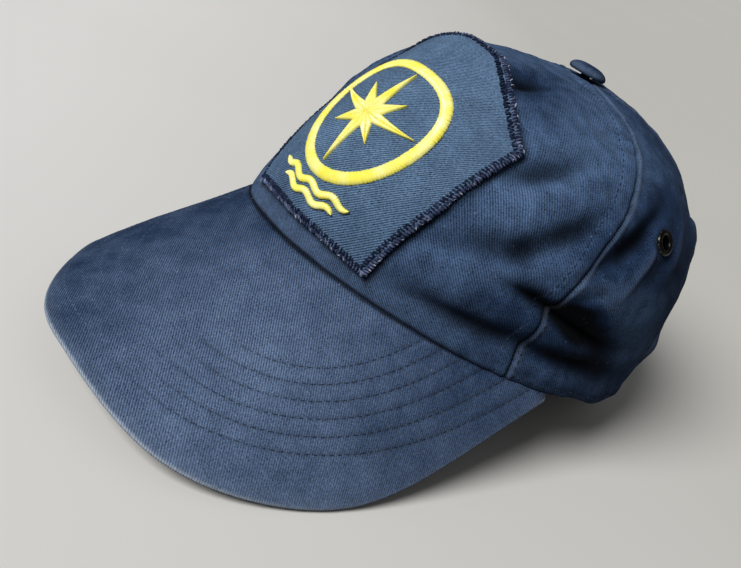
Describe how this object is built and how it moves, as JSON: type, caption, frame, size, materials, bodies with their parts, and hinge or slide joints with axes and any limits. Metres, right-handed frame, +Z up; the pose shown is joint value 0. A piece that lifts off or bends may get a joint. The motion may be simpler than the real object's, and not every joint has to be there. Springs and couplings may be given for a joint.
{
  "type": "peaked cap",
  "caption": "Soft navy twill peaked cap with a gored crown, a curved topstitched visor, a covered top button, vent eyelets and an embroidered front patch.",
  "frame": {"origin": "on the surface that the cap rests on, under the middle of the cap's box", "axes": "+Z up, -Y forward along the visor, +X towards the wearer's left"},
  "size_m": [0.1673, 0.2671, 0.1319],
  "materials": {
    "crown_twill": "faded navy cotton twill, washed, with paler seams",
    "visor_twill": "faded navy cotton twill over a board, topstitched, edge worn pale",
    "patch_twill": "navy cotton twill, a little greyer than the crown",
    "border_thread": "navy overlock thread with paler strands",
    "yellow_thread": "lemon yellow satin stitch with a silky sheen",
    "dark_brass": "blackened brass, worn to dull gold on its rim"
  },
  "bodies": {
    "root": {"crown_front": "crown_twill", "crown_side_left": "crown_twill", "crown_back_left": "crown_twill", "crown_back_right": "crown_twill", "crown_side_right": "crown_twill", "top_button": "crown_twill", "visor": "visor_twill", "eyelet_left": "dark_brass", "eyelet_right": "dark_brass", "patch": "patch_twill", "patch_border": "border_thread", "emblem_star": "yellow_thread", "emblem_ring": "yellow_thread", "emblem_wave_1": "yellow_thread", "emblem_wave_2": "yellow_thread"}
  },
  "joints": []
}
